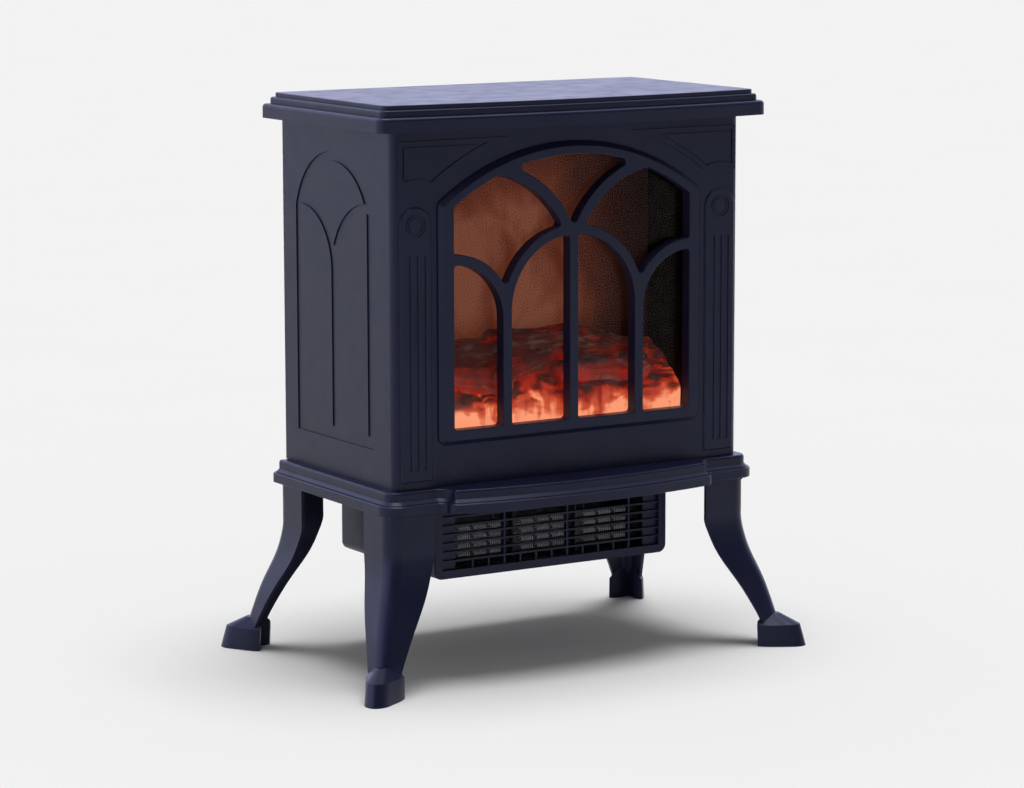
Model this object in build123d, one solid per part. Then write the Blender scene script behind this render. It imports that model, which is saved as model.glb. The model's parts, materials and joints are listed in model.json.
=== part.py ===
"""Free-standing electric stove heater: a cast-look cabinet on four cabriole legs,
with a lit log bed behind an arched window and a fan heater slung under the base.

Frame: millimetres, +Z up, origin on the floor under the centre of the footprint,
the window faces -Y and +X is to the right when looking at the window."""
from build123d import *
import math
import os

# ---- overall sizes ----
FLOOR_TO_BODY = 186.0
BODY_W = 380.0
BODY_D = 210.0
BODY_FRONT = -103.5
BODY_BACK = BODY_FRONT + BODY_D
BODY_TOP = 523.0
WALL = 3.0
CORNER_R = 8.0
RETURN_D = 17.0
HALF_W = BODY_W / 2
INNER_W = BODY_W - 2 * WALL

# ---- cover ----
COVER_BOTTOM = 514.0
COVER_TOP = 538.0
COVER_HALF_W = 211.0
COVER_BACK = BODY_FRONT + 213.5
COVER_EDGE_FRONT = BODY_FRONT - 16.0
COVER_BOW = 14.0
COVER_CORNER_R = 10.0
COVER_MID_INSET = 5.6
COVER_TIERS = ((0.0, 13.4, 3.2), (COVER_MID_INSET, 6.4, 2.2), (9.2, 4.2, 1.2))
COVER_CEILING = 531.0

# ---- base tray ----
BASE_BOTTOM = 164.5
BASE_BAND_H = 9.5
BASE_HALF_W = 204.8
BASE_BACK = BODY_FRONT + 215.0
BASE_BOW_R = 670.0
EAR_FRONT = BODY_FRONT - 30.7
BREAK_FRONT = BODY_FRONT - 42.7
BREAK_HALF_W = 138.0
EAR_START_X = 152.0
BASE_CORNER_R = 18.0
BASE_STEP = 7.0
DECK_T = 4.0

# ---- legs ----
LEG_X = 198.8
LEG_Y = 108.5
LEG_CORNER_R = 14.0
LEG_ARM = 48.0
LEG_WALL = 3.2
LEG_BEND_Z = 130.0
LEG_SCREW_INSET = 16.0
HOOF_RIM_Z = 21.0
HOOF_BACK = 14.0
HOOF_NOSE = 59.0

# ---- window ----
ARCH_Z = FLOOR_TO_BODY + 82.3
FRAME_R = 229.4
FRAME_HALF_W = 144.0
FRAME_BOTTOM = FLOOR_TO_BODY + 38.1
FRAME_PROUD = 6.0
FRAME_BEVEL = 4.4
FRAME_DEPTH = 12.0
PANE_R = 217.5
PANE_HALF_W = 129.5
PANE_BOTTOM = FLOOR_TO_BODY + 51.8
SPIGOT = 6.0
MULLION_W = 9.4
MULLION_X = 72.5
SIDE_ARCH_Z = FLOOR_TO_BODY + 151.5
MID_ARCH_Z = FLOOR_TO_BODY + 157.5
CROSS_X = 98.3
CROSS_Z = FLOOR_TO_BODY + 187.5
CROSS_R = 97.1
CROSS_W = 10.7
PANE_CORNER_R = 3.6

# ---- front mouldings ----
PILASTER_X = 167.3
PILASTER_HALF_W = 16.75
PILASTER_BOTTOM = 192.7
PILASTER_RING_Z = FLOOR_TO_BODY + 242.2
RELIEF = 1.6
SPANDREL_R = 245.5
SPANDREL_TOP = FLOOR_TO_BODY + 318.3
SPANDREL_EDGE_X = 184.5
SPANDREL_SCOOP_R = 38.3

# ---- side panel tracery ----
SIDE_CENTRE_Y = BODY_FRONT + 112.0
SIDE_HALF_W = 72.5
SIDE_BOTTOM = FLOOR_TO_BODY + 33.0
SIDE_ARCH_R = 75.4
SIDE_ARCH_C = FLOOR_TO_BODY + 227.0
SIDE_BAND = 9.0
SIDE_LANCET_Z = FLOOR_TO_BODY + 190.0
SIDE_GROOVE = 1.1

# ---- heater box under the base ----
BOX_HALF_W = 129.7
BOX_FRONT = BODY_FRONT + 32.0
BOX_BACK = BODY_BACK
BOX_BOTTOM = 91.0
BOX_WALL = 2.5
BOX_CORNER_R = 8.0
GRILLE_T = 8.0
GRILLE_OPEN_W = 242.0
GRILLE_OPEN_BOTTOM = 99.0
GRILLE_OPEN_TOP = 158.0
SLAT_PITCH = 8.3
SLAT_T = 1.7
CELL_W = 17.5
CELLS = 12
CELLS_PER_BANK = 4
END_BLOCK_W = 16.0
ELEMENT_Y = BOX_FRONT + 14.0
ELEMENT_HALF_W = 112.0
BANK_START_X = -94.0
WIRE_ROWS = 4
WIRE_BOTTOM_Z = 108.3

# ---- inside the cabinet ----
SHELF_TOP = 222.0
SHEET = 2.0
LINER_HALF_W = 139.0
LINER_TOP = 496.0
GLASS_T = 2.0
GLASS_Y = BODY_FRONT + 6.0
LINER_FRONT = GLASS_Y + GLASS_T
SCREEN_Y = BODY_FRONT + 77.0
SCREEN_T = 3.0
ROTOR_Y = SCREEN_Y + 36.0
ROTOR_Z = 262.0
ROTOR_SHAFT_R = 1.5
ROTOR_HALF_L = 112.0
ROTOR_STRIP_R = 21.0

# ---- blower ----
WHEEL_Y = 46.0
WHEEL_Z = 129.0
WHEEL_R = 25.0
WHEEL_LEFT = -104.0
WHEEL_RIGHT = 84.0
WHEEL_SHAFT_R = 2.5
BLADES = 20
RUNNING_GAP = 0.05

# ---- controls on the back ----
CONTROL_X = 112.0
CONTROL_Z = 430.0
CONTROL_W = 118.0
CONTROL_H = 62.0
BACK_SHEET_T = 2.5
BACK_FACE = BODY_BACK - 0.5
CONTROL_FACE = BACK_FACE + 3.0
SWITCH_PITCH = 22.0
FIRST_SWITCH_X = CONTROL_X - 2.0
ROCKER_TILT = 12.0
KNOB_X = CONTROL_X - 36.0
KNOB_R = 15.0
GLAND_X = -150.0
GLAND_Z = 205.0
GLAND_BORE_R = 3.6

PARTS = {}


def keep(name, shape):
    """Remember one finished node under its name."""
    PARTS[name] = shape


def block(x0, x1, y0, y1, z0, z1):
    """Box from its lowest corner to its highest."""
    return Pos((x0 + x1) / 2, (y0 + y1) / 2, (z0 + z1) / 2) * Box(x1 - x0, y1 - y0, z1 - z0)


def rod_x(x0, x1, y, z, r):
    """Round bar along X."""
    return Pos((x0 + x1) / 2, y, z) * Rot(0, 90, 0) * Cylinder(r, x1 - x0)


def rod_y(x, y0, y1, z, r):
    """Round bar along Y."""
    return Pos(x, (y0 + y1) / 2, z) * Rot(90, 0, 0) * Cylinder(r, y1 - y0)


def rod_z(x, y, z0, z1, r):
    """Round bar along Z."""
    return Pos(x, y, (z0 + z1) / 2) * Cylinder(r, z1 - z0)


def front_plate(sketch, y0, y1):
    """Extrude a sketch drawn as (x, z) so that it fills y0 to y1."""
    plane = Plane(origin=(0, y1, 0), x_dir=(1, 0, 0), z_dir=(0, -1, 0))
    return extrude(plane * sketch, y1 - y0)


def disc(x, y, r):
    """Flat circle at a sketch position."""
    return Pos(x, y) * Circle(r)


def rect(x0, x1, y0, y1):
    """Flat rectangle from its lowest corner to its highest."""
    return Pos((x0 + x1) / 2, (y0 + y1) / 2) * Rectangle(x1 - x0, y1 - y0)


def softened(sketch, r):
    """Round the outward corners of a flat shape."""
    return offset(offset(sketch, -r), r, kind=Kind.ARC)


def mirrored(shape):
    """The shape's twin across the middle of the object."""
    return mirror(shape, Plane.YZ)


# ---------------------------------------------------------------- window

def arch_shape(half_w, bottom, r):
    """Straight-sided opening under one low arch."""
    return rect(-half_w, half_w, bottom, ARCH_Z + r) & disc(0, ARCH_Z, r)


def pane_openings():
    """The seven glazed openings between the glazing bars."""
    whole = arch_shape(PANE_HALF_W, PANE_BOTTOM, PANE_R)
    bar = MULLION_W / 2
    side_r = PANE_HALF_W - MULLION_X - bar
    mid_r = MULLION_X - bar
    left_lancet = disc(-PANE_HALF_W, SIDE_ARCH_Z, side_r) + rect(
        -PANE_HALF_W, -MULLION_X - bar, PANE_BOTTOM, SIDE_ARCH_Z)
    left_lancet = left_lancet & rect(-PANE_HALF_W, -MULLION_X - bar, PANE_BOTTOM, ARCH_Z + PANE_R)
    inner = disc(0, MID_ARCH_Z, mid_r) + rect(-mid_r, mid_r, PANE_BOTTOM, MID_ARCH_Z)
    inner_left = inner & rect(-mid_r, -bar, PANE_BOTTOM, ARCH_Z + PANE_R)
    below = disc(-PANE_HALF_W, SIDE_ARCH_Z, side_r + 9.9) + disc(0, MID_ARCH_Z, mid_r + 9.2)
    below = below + rect(-PANE_HALF_W, 0, PANE_BOTTOM - 1, SIDE_ARCH_Z)
    upper_left = (whole & disc(-CROSS_X, CROSS_Z, CROSS_R)) - below
    upper_left = upper_left & rect(-PANE_HALF_W, 0, SIDE_ARCH_Z, ARCH_Z + PANE_R)
    top = whole - disc(-CROSS_X, CROSS_Z, CROSS_R + CROSS_W) - disc(CROSS_X, CROSS_Z, CROSS_R + CROSS_W)
    top = top & rect(-CROSS_X, CROSS_X, CROSS_Z + 30, ARCH_Z + PANE_R)
    halves = [left_lancet, inner_left, upper_left]
    panes = [softened(shape, PANE_CORNER_R) for shape in halves]
    panes = panes + [mirror(shape, Plane.YZ) for shape in panes]
    panes.append(softened(top, PANE_CORNER_R))
    return panes


def window_frame():
    front = BODY_FRONT - FRAME_PROUD
    flange_shape = softened(arch_shape(FRAME_HALF_W, FRAME_BOTTOM, FRAME_R), 9.0)
    flange = front_plate(flange_shape, front, BODY_FRONT)
    rim = flange.faces().sort_by(Axis.Y)[0].outer_wire().edges()
    flange = chamfer(rim, FRAME_BEVEL)
    spigot_shape = arch_shape(PANE_HALF_W + SPIGOT, PANE_BOTTOM - SPIGOT, PANE_R + SPIGOT)
    body = flange + front_plate(spigot_shape, BODY_FRONT, front + FRAME_DEPTH)
    for pane in pane_openings():
        body = body - front_plate(pane, front - 1, front + FRAME_DEPTH + 1)
    edges = body.faces().sort_by(Axis.Y)[0].edges()
    body = fillet(edges, 0.9)
    keep("window_frame", body)


def window_glass():
    half = PANE_HALF_W + 5
    pane = arch_shape(half, PANE_BOTTOM - 5, PANE_R + 5)
    keep("window_glass", front_plate(pane, GLASS_Y, GLASS_Y + GLASS_T))


# ---------------------------------------------------------------- cabinet

def spandrel_shape(inset):
    """Corner field between the window arch and the pilaster head."""
    field = rect(-SPANDREL_EDGE_X + inset, -66.0, SPANDREL_TOP - 50, SPANDREL_TOP - inset)
    field = field - disc(0, ARCH_Z, SPANDREL_R + inset)
    return field - disc(-PILASTER_X, PILASTER_RING_Z, SPANDREL_SCOOP_R + inset)


def spandrel():
    """Raised corner field with a sunk line round it."""
    face_y = BODY_FRONT - RELIEF * 0.75
    raised = front_plate(spandrel_shape(0), face_y, BODY_FRONT + 0.5)
    line = spandrel_shape(3.4) - spandrel_shape(5.6)
    return raised - front_plate(line, face_y - 1, face_y + 1.0)


def pilaster():
    """Raised strip with a round head, two ring grooves and three flutes."""
    face_y = BODY_FRONT - RELIEF
    outline = rect(-PILASTER_X - PILASTER_HALF_W, -PILASTER_X + PILASTER_HALF_W,
                   PILASTER_BOTTOM, PILASTER_RING_Z)
    outline = outline + disc(-PILASTER_X, PILASTER_RING_Z, PILASTER_HALF_W)
    strip = front_plate(outline, face_y, BODY_FRONT + 0.5)
    strip = chamfer(strip.faces().sort_by(Axis.Y)[0].edges(), 1.1)
    for outer_r, inner_r in ((10.4, 9.2), (7.6, 6.9)):
        ring = disc(-PILASTER_X, PILASTER_RING_Z, outer_r) - disc(-PILASTER_X, PILASTER_RING_Z, inner_r)
        strip = strip - front_plate(ring, face_y - 1, face_y + 0.7)
    for step in (-1, 0, 1):
        x = -PILASTER_X + step * 8.0
        flute = rect(x - 2.2, x + 2.2, PILASTER_BOTTOM + 10.5, PILASTER_RING_Z - 28)
        strip = strip - front_plate(flute, face_y - 1, face_y + 0.8)
    return strip


def front_panel():
    shell = block(-HALF_W, HALF_W, BODY_FRONT, BODY_FRONT + RETURN_D, FLOOR_TO_BODY, BODY_TOP)
    corners = shell.edges().filter_by(Axis.Z).group_by(Axis.Y)[0]
    shell = fillet(corners, CORNER_R)
    hollow = block(-HALF_W + WALL, HALF_W - WALL, BODY_FRONT + WALL, BODY_FRONT + RETURN_D + 1,
                   FLOOR_TO_BODY - 1, BODY_TOP + 1)
    inner_corners = hollow.edges().filter_by(Axis.Z).group_by(Axis.Y)[0]
    shell = shell - fillet(inner_corners, CORNER_R - WALL)
    hole = arch_shape(PANE_HALF_W + SPIGOT + 0.1, PANE_BOTTOM - SPIGOT - 0.1, PANE_R + SPIGOT + 0.1)
    shell = shell - front_plate(hole, BODY_FRONT - 1, BODY_FRONT + WALL + 1)
    for relief in (spandrel(), pilaster()):
        shell = shell + relief + mirrored(relief)
    keep("front_panel", shell)


def side_tracery():
    """Sunk bands on the side: one round-headed frame holding two lancets.
    Drawn as (y, z)."""
    inner = SIDE_HALF_W - SIDE_BAND
    half_bar = 4.2
    lancet_r = inner - half_bar
    outer = rect(-SIDE_HALF_W, SIDE_HALF_W, SIDE_BOTTOM, SIDE_ARCH_C + SIDE_ARCH_R)
    outer = outer & (disc(0, SIDE_ARCH_C, SIDE_ARCH_R) + rect(-SIDE_HALF_W, SIDE_HALF_W,
                                                              SIDE_BOTTOM, SIDE_ARCH_C))
    pane_floor = SIDE_BOTTOM + SIDE_BAND + 2.5
    lancet = disc(inner, SIDE_LANCET_Z, lancet_r) + rect(half_bar, inner, pane_floor, SIDE_LANCET_Z)
    lancet = lancet & rect(half_bar, inner, pane_floor, SIDE_ARCH_C + SIDE_ARCH_R)
    head = disc(0, SIDE_ARCH_C, SIDE_ARCH_R - SIDE_BAND) & rect(-inner, inner, SIDE_LANCET_Z,
                                                               SIDE_ARCH_C + SIDE_ARCH_R)
    for side in (-inner, inner):
        head = head - disc(side, SIDE_LANCET_Z, lancet_r + SIDE_BAND)
    bands = outer - lancet - mirror(lancet, Plane.YZ) - head
    return Pos(SIDE_CENTRE_Y, 0) * bands


def side_panel(name, sign):
    face_x = sign * HALF_W
    inner_x = sign * (HALF_W - WALL)
    front_y = BODY_FRONT + RETURN_D
    plate = block(min(face_x, inner_x), max(face_x, inner_x), front_y, BODY_BACK, FLOOR_TO_BODY, BODY_TOP)
    plane = Plane(origin=(face_x - sign * SIDE_GROOVE, 0, 0), x_dir=(0, 1, 0), z_dir=(1, 0, 0))
    plate = plate - extrude(plane * side_tracery(), sign * 5)
    lap_x = inner_x - sign * WALL
    lap = block(min(lap_x, inner_x), max(lap_x, inner_x), front_y - 7, front_y + 8,
                FLOOR_TO_BODY + 2, BODY_TOP - 2)
    lip_x = inner_x - sign * 14
    lip = block(min(lip_x, inner_x), max(lip_x, inner_x), BACK_FACE - BACK_SHEET_T - 2.5,
                BACK_FACE - BACK_SHEET_T, FLOOR_TO_BODY + 2, BODY_TOP - 22)
    keep(name, plate + lap + lip)


def back_panel():
    inner = HALF_W - WALL - 0.2
    sheet = block(-inner, inner, BACK_FACE - BACK_SHEET_T, BACK_FACE, FLOOR_TO_BODY, BODY_TOP)
    for row in range(5):
        for column in range(9):
            x = -78 + column * 12
            z = 478 - row * 9
            slot = rect(x - 60 - 4.2, x - 60 + 4.2, z - 1.5, z + 1.5)
            sheet = sheet - front_plate(slot, BACK_FACE - 5, BACK_FACE + 1)
    holes = rect(KNOB_X - 14.4, KNOB_X + 14.4, CONTROL_Z - 14.4, CONTROL_Z + 14.4)
    for index in range(3):
        x = switch_x(index)
        holes = holes + rect(x - 6.9, x + 6.9, CONTROL_Z - 9.9, CONTROL_Z + 9.9)
    sheet = sheet - front_plate(holes, BACK_FACE - 5, BACK_FACE + 1)
    sheet = sheet - rod_y(GLAND_X, BACK_FACE - 5, BACK_FACE + 1, GLAND_Z, 8.0)
    for x, z in back_screw_points():
        sheet = sheet - rod_y(x, BACK_FACE - 5, BACK_FACE + 1, z, 1.8)
    press_line = rect(-165, 165, 238, 242) + rect(-165, 165, 350, 354)
    sheet = sheet - front_plate(press_line, BACK_FACE - 0.8, BACK_FACE + 1)
    keep("back_panel", sheet)


def back_screw_points():
    return [(x, z) for x in (-179.5, 179.5) for z in (198.0, 299.0, 400.0, 497.0)]


def top_plate():
    inner = HALF_W - WALL - 0.2
    y0 = BODY_FRONT + RETURN_D + 9
    y1 = BACK_FACE - BACK_SHEET_T - 0.2
    plate = block(-inner, inner, y0, y1, 510.5, 512.0)
    for column in range(12):
        x = -132 + column * 24
        plate = plate - block(x - 7, x + 7, 40, 44, 505, 515)
    for x, y in cover_screw_points():
        plate = plate - rod_z(x, y, 505, 515, 2.0)
    keep("top_plate", plate)


def cover_screw_points():
    return [(x, y) for x in (-150.0, 150.0) for y in (-58.0, 78.0)]


# ---------------------------------------------------------------- cover

def bowed_outline(inset):
    """Cover plan: straight sides and back, gently bowed front."""
    half = COVER_HALF_W - inset
    back = COVER_BACK - inset
    edge = COVER_EDGE_FRONT + inset
    middle = COVER_EDGE_FRONT - COVER_BOW + inset
    front = ThreePointArc((-half, edge), (0, middle), (half, edge))
    sides = Polyline((half, edge), (half, back), (-half, back), (-half, edge))
    face = make_face(front + sides)
    r_back = 5.0
    face = fillet(face.vertices().group_by(Axis.Y)[-1], r_back)
    return fillet(face.vertices().filter_by(lambda v: v.Y < 0), COVER_CORNER_R - inset * 0.35)


def top_cover():
    body = None
    z = COVER_BOTTOM
    for inset, height, round_r in COVER_TIERS:
        tier = extrude(Pos(0, 0, z) * bowed_outline(inset), height)
        tier = fillet(tier.faces().sort_by(Axis.Z)[-1].edges(), round_r)
        body = tier if body is None else body + tier
        z = z + height
    body = body - extrude(Pos(0, 0, COVER_BOTTOM - 1) * bowed_outline(WALL), BODY_TOP - COVER_BOTTOM + 1)
    under = bowed_outline(COVER_MID_INSET + WALL)
    body = body - extrude(Pos(0, 0, COVER_BOTTOM) * under, COVER_CEILING - COVER_BOTTOM)
    for x, y in cover_screw_points():
        body = body + (rod_z(x, y, 512.0, COVER_CEILING + 1, 4.5) - rod_z(x, y, 505, 524, 1.5))
    keep("top_cover", body)


def cover_screws():
    group = [screw_z(x, y, 510.5, 12.0, -1) for x, y in cover_screw_points()]
    keep("cover_screws", Compound(children=group))


# ---------------------------------------------------------------- base

def s_bend_middle(start, slope, end):
    """Where two arcs meet smoothly between a sloping start and a level end."""
    leave = Vector(1, slope).normalized()
    arrive = Vector(1, 0)
    gap = Vector(*end) - Vector(*start)
    a = 2 * (leave.dot(arrive) - 1)
    b = -2 * gap.dot(leave + arrive)
    reach = (-b - math.sqrt(b * b - 4 * a * gap.dot(gap))) / (2 * a)
    middle = (Vector(*start) + leave * reach + Vector(*end) - arrive * reach) * 0.5
    return (middle.X, middle.Y)


def base_outline(inset):
    """Base plan: bowed front that steps forward in the middle."""
    half = BASE_HALF_W
    back = BASE_BACK

    def bow(x, front):
        return front + BASE_BOW_R - math.sqrt(BASE_BOW_R ** 2 - x * x)

    ear_y = bow(EAR_START_X, EAR_FRONT)
    break_y = bow(BREAK_HALF_W, BREAK_FRONT)
    slope = BREAK_HALF_W / math.sqrt(BASE_BOW_R ** 2 - BREAK_HALF_W ** 2)
    turn = s_bend_middle((BREAK_HALF_W, break_y), slope, (EAR_START_X, ear_y))
    middle = ThreePointArc((-BREAK_HALF_W, break_y), (0, BREAK_FRONT), (BREAK_HALF_W, break_y))
    step_right = TangentArc((BREAK_HALF_W, break_y), turn, tangent=(1, slope))
    step_right = step_right + TangentArc((EAR_START_X, ear_y), turn, tangent=(-1, 0))
    ear_right = Line((EAR_START_X, ear_y), (half, ear_y))
    step_left = mirror(step_right, Plane.YZ)
    ear_left = mirror(ear_right, Plane.YZ)
    rest = Polyline((half, ear_y), (half, back), (-half, back), (-half, ear_y))
    face = make_face(middle + step_right + ear_right + step_left + ear_left + rest)
    face = fillet(face.vertices().group_by(Axis.Y)[-1], 8.0)
    fronts = face.vertices().filter_by(lambda v: abs(abs(v.X) - half) < 0.01 and v.Y < 0)
    face = fillet(fronts, BASE_CORNER_R)
    return offset(face, -inset) if inset else face


def base_tray():
    band = extrude(Pos(0, 0, BASE_BOTTOM) * base_outline(0), BASE_BAND_H)
    band = chamfer(band.faces().sort_by(Axis.Z)[-1].edges(), 1.1)
    band = chamfer(band.faces().sort_by(Axis.Z)[0].edges(), 0.5)
    tier_z = BASE_BOTTOM + BASE_BAND_H
    foot = extrude(Pos(0, 0, tier_z) * base_outline(2.8), 3.4)
    foot = chamfer(foot.faces().sort_by(Axis.Z)[-1].edges(), 2.8)
    tier = extrude(Pos(0, 0, tier_z) * base_outline(BASE_STEP - 1.2), FLOOR_TO_BODY - tier_z)
    tier = fillet(tier.faces().sort_by(Axis.Z)[-1].edges(), 2.6)
    body = band + foot + tier
    body = body - block(-186, 186, BODY_FRONT + 4, BODY_BACK - 4, BASE_BOTTOM + DECK_T, FLOOR_TO_BODY + 1)
    body = body - block(-105, 105, -60, 70, BASE_BOTTOM - 1, BASE_BOTTOM + DECK_T + 1)
    for x, y in leg_screw_points() + box_screw_points():
        body = body - rod_z(x, y, BASE_BOTTOM - 1, BASE_BOTTOM + 14, 1.7)
    keep("base_tray", body)


def leg_screw_points():
    x = LEG_X - LEG_WALL - LEG_SCREW_INSET
    y = LEG_Y - LEG_WALL - LEG_SCREW_INSET
    return [(sx * x, sy * y) for sx in (-1, 1) for sy in (-1, 1)]


def box_screw_points():
    return [(sx * (BOX_HALF_W - BOX_WALL - 8), y) for sx in (-1, 1) for y in (-40.0, 84.0)]


# ---------------------------------------------------------------- legs

def leg_section(z, arm, reach):
    """L-shaped wall at one height; reach is how far the corner has splayed out diagonally."""
    corner_r = LEG_CORNER_R * (0.6 + 0.4 * arm / LEG_ARM)
    slide = (reach + (math.sqrt(2) - 1) * (corner_r - LEG_CORNER_R)) / math.sqrt(2)
    wall = LEG_WALL
    outline = rect(0, arm, 0, wall) + rect(0, wall, 0, arm)
    outer = outline.vertices().sort_by(lambda v: v.X + v.Y)[0]
    outline = fillet(outer, corner_r)
    bend = outline.vertices().filter_by(lambda v: abs(v.X - wall) < 0.01 and abs(v.Y - wall) < 0.01)
    outline = fillet(bend, corner_r - wall * 0.6)
    return Pos(-LEG_X - slide, -LEG_Y - slide, z) * outline


def hoof_outline(z, back, nose, half_widths):
    """Plan of the hoof at one height, with its nose pointing along +Y."""
    side = []
    for half_w, along in zip(half_widths, (0.0, 0.25, 0.62, 0.88)):
        side.append((half_w, back + (nose - back) * along))
    points = side + [(0, nose)] + [(-x, y) for x, y in reversed(side)]
    return Pos(0, 0, z) * make_face(Spline(*points) + Line(points[-1], points[0]))


def toe():
    """Pointed hoof with a level rim and a top that climbs to the leg's corner."""
    sole = hoof_outline(0, HOOF_BACK + 1, HOOF_NOSE, (17.5, 16.9, 12.9, 8.8))
    rim = hoof_outline(HOOF_RIM_Z, HOOF_BACK, HOOF_NOSE - 5.8, (17.0, 16.6, 12.0, 7.8))
    crown = hoof_outline(HOOF_RIM_Z + 10.0, HOOF_BACK, HOOF_BACK + 19.0, (9.0, 8.6, 6.6, 4.4))
    body = loft([sole, rim]) + loft([rim, crown])
    body = Pos(-LEG_X, -LEG_Y, 0) * Rot(0, 0, 135) * body
    hollow = 20.0
    return body - block(-LEG_X - hollow, -LEG_X + 30, -LEG_Y - hollow, -LEG_Y + 30, -1, HOOF_RIM_Z + 12)


def one_leg():
    """Front left leg."""
    top = BASE_BOTTOM
    stations = ((LEG_BEND_Z, LEG_ARM, 0.0), (115.0, 46.2, 1.7), (100.0, 43.6, 6.0), (85.0, 40.8, 12.6),
                (70.0, 36.6, 20.2), (55.0, 31.8, 26.6), (40.0, 27.2, 32.0), (28.0, 23.8, 35.8),
                (14.0, 20.2, 37.8), (0.0, 17.0, 39.0))
    straight = extrude(leg_section(LEG_BEND_Z, LEG_ARM, 0.0), top - LEG_BEND_Z)
    curved = loft([leg_section(z, arm, reach) for z, arm, reach in stations])
    foot = toe()
    tab_x = -LEG_X + LEG_WALL
    tab_y = -LEG_Y + LEG_WALL
    tab = block(tab_x, tab_x + 24, tab_y, tab_y + 24, top - 3.5, top)
    screw_x, screw_y = leg_screw_points()[0]
    tab = tab - rod_z(screw_x, screw_y, top - 6, top + 1, 2.0)
    return straight + curved + foot + tab


def legs():
    leg = one_leg()
    keep("leg_front_left", leg)
    keep("leg_front_right", mirror(leg, Plane.YZ))
    keep("leg_back_left", mirror(leg, Plane.XZ))
    keep("leg_back_right", Rot(0, 0, 180) * leg)


# ---------------------------------------------------------------- fasteners

def screw_z(x, y, z, length, head_side):
    """Pan-head screw on a vertical axis. z is the seat, head_side the side of its head."""
    head = rod_z(x, y, min(z, z + head_side * 2.0), max(z, z + head_side * 2.0), 3.4)
    shank = rod_z(x, y, min(z, z - head_side * length), max(z, z - head_side * length), 1.45)
    slot_z = z + head_side * 1.6
    cross = Pos(x, y, slot_z) * (Box(4.2, 0.8, 1.2) + Box(0.8, 4.2, 1.2))
    return (head + shank) - cross


def screw_y(x, y, z, length):
    """Pan-head screw whose head sits on a rear-facing surface at y."""
    head = rod_y(x, y, y + 2.0, z, 3.4)
    shank = rod_y(x, y - length, y, z, 1.45)
    cross = Pos(x, y + 1.7, z) * (Box(4.2, 1.2, 0.8) + Box(0.8, 1.2, 4.2))
    return (head + shank) - cross


def leg_screws():
    group = [screw_z(x, y, BASE_BOTTOM - 3.5, 12.0, -1) for x, y in leg_screw_points()]
    keep("leg_screws", Compound(children=group))


def back_screws():
    group = [screw_y(x, BACK_FACE, z, 2.4) for x, z in back_screw_points()]
    keep("back_panel_screws", Compound(children=group))


def box_screws():
    group = [screw_z(x, y, BASE_BOTTOM - 1.6, 12.0, -1) for x, y in box_screw_points()]
    keep("heater_box_screws", Compound(children=group))


# ---------------------------------------------------------------- heater box

def box_outline(inset):
    shape = rect(-BOX_HALF_W + inset, BOX_HALF_W - inset, BOX_BOTTOM + inset, BASE_BOTTOM)
    return fillet(shape.vertices().group_by(Axis.Y)[0], BOX_CORNER_R - inset)


def heater_box():
    y0 = BOX_FRONT + GRILLE_T
    shell = front_plate(box_outline(0), y0, BOX_BACK)
    shell = shell - front_plate(box_outline(BOX_WALL), y0 - 1, BOX_BACK - BOX_WALL)
    for x, y in box_screw_points():
        sign = 1 if x > 0 else -1
        edge = sign * (BOX_HALF_W - BOX_WALL)
        lug = block(min(edge, edge - sign * 16), max(edge, edge - sign * 16), y - 8, y + 8,
                    BASE_BOTTOM - 1.6, BASE_BOTTOM)
        shell = shell + (lug - rod_z(x, y, BASE_BOTTOM - 5, BASE_BOTTOM + 1, 1.8))
    for row in range(6):
        z = 104 + row * 8.5
        for column in range(9):
            x = -88 + column * 22
            slot = rect(x - 8.5, x + 8.5, z - 1.6, z + 1.6)
            shell = shell - front_plate(slot, BOX_BACK - 5, BOX_BACK + 1)
    keep("heater_box", shell)


def outlet_grille():
    y0 = BOX_FRONT
    frame = front_plate(box_outline(0), y0, y0 + GRILLE_T)
    hole = rect(-GRILLE_OPEN_W / 2, GRILLE_OPEN_W / 2, GRILLE_OPEN_BOTTOM, GRILLE_OPEN_TOP)
    frame = frame - front_plate(hole, y0 - 1, y0 + GRILLE_T + 1)
    edges = frame.faces().sort_by(Axis.Y)[0].outer_wire().edges()
    frame = chamfer(edges, 0.8)
    half = GRILLE_OPEN_W / 2
    slats = int((GRILLE_OPEN_TOP - GRILLE_OPEN_BOTTOM) / SLAT_PITCH)
    for row in range(1, slats + 1):
        z = GRILLE_OPEN_BOTTOM + row * SLAT_PITCH
        frame = frame + block(-half, half, y0 + 1.2, y0 + 6.5, z - SLAT_T / 2, z + SLAT_T / 2)
    for cell in range(1, CELLS):
        x = (cell - CELLS / 2) * CELL_W
        full = cell % CELLS_PER_BANK == CELLS_PER_BANK - 1
        top = GRILLE_OPEN_TOP if full else GRILLE_OPEN_BOTTOM + SLAT_PITCH
        frame = frame + block(x - 0.9, x + 0.9, y0 + 1.6, y0 + 6.5, GRILLE_OPEN_BOTTOM, top)
    for x0 in (-half, half - END_BLOCK_W):
        frame = frame + block(x0, x0 + END_BLOCK_W, y0 + 4.0, y0 + 6.5, GRILLE_OPEN_BOTTOM, GRILLE_OPEN_TOP)
    keep("outlet_grille", frame)


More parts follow.
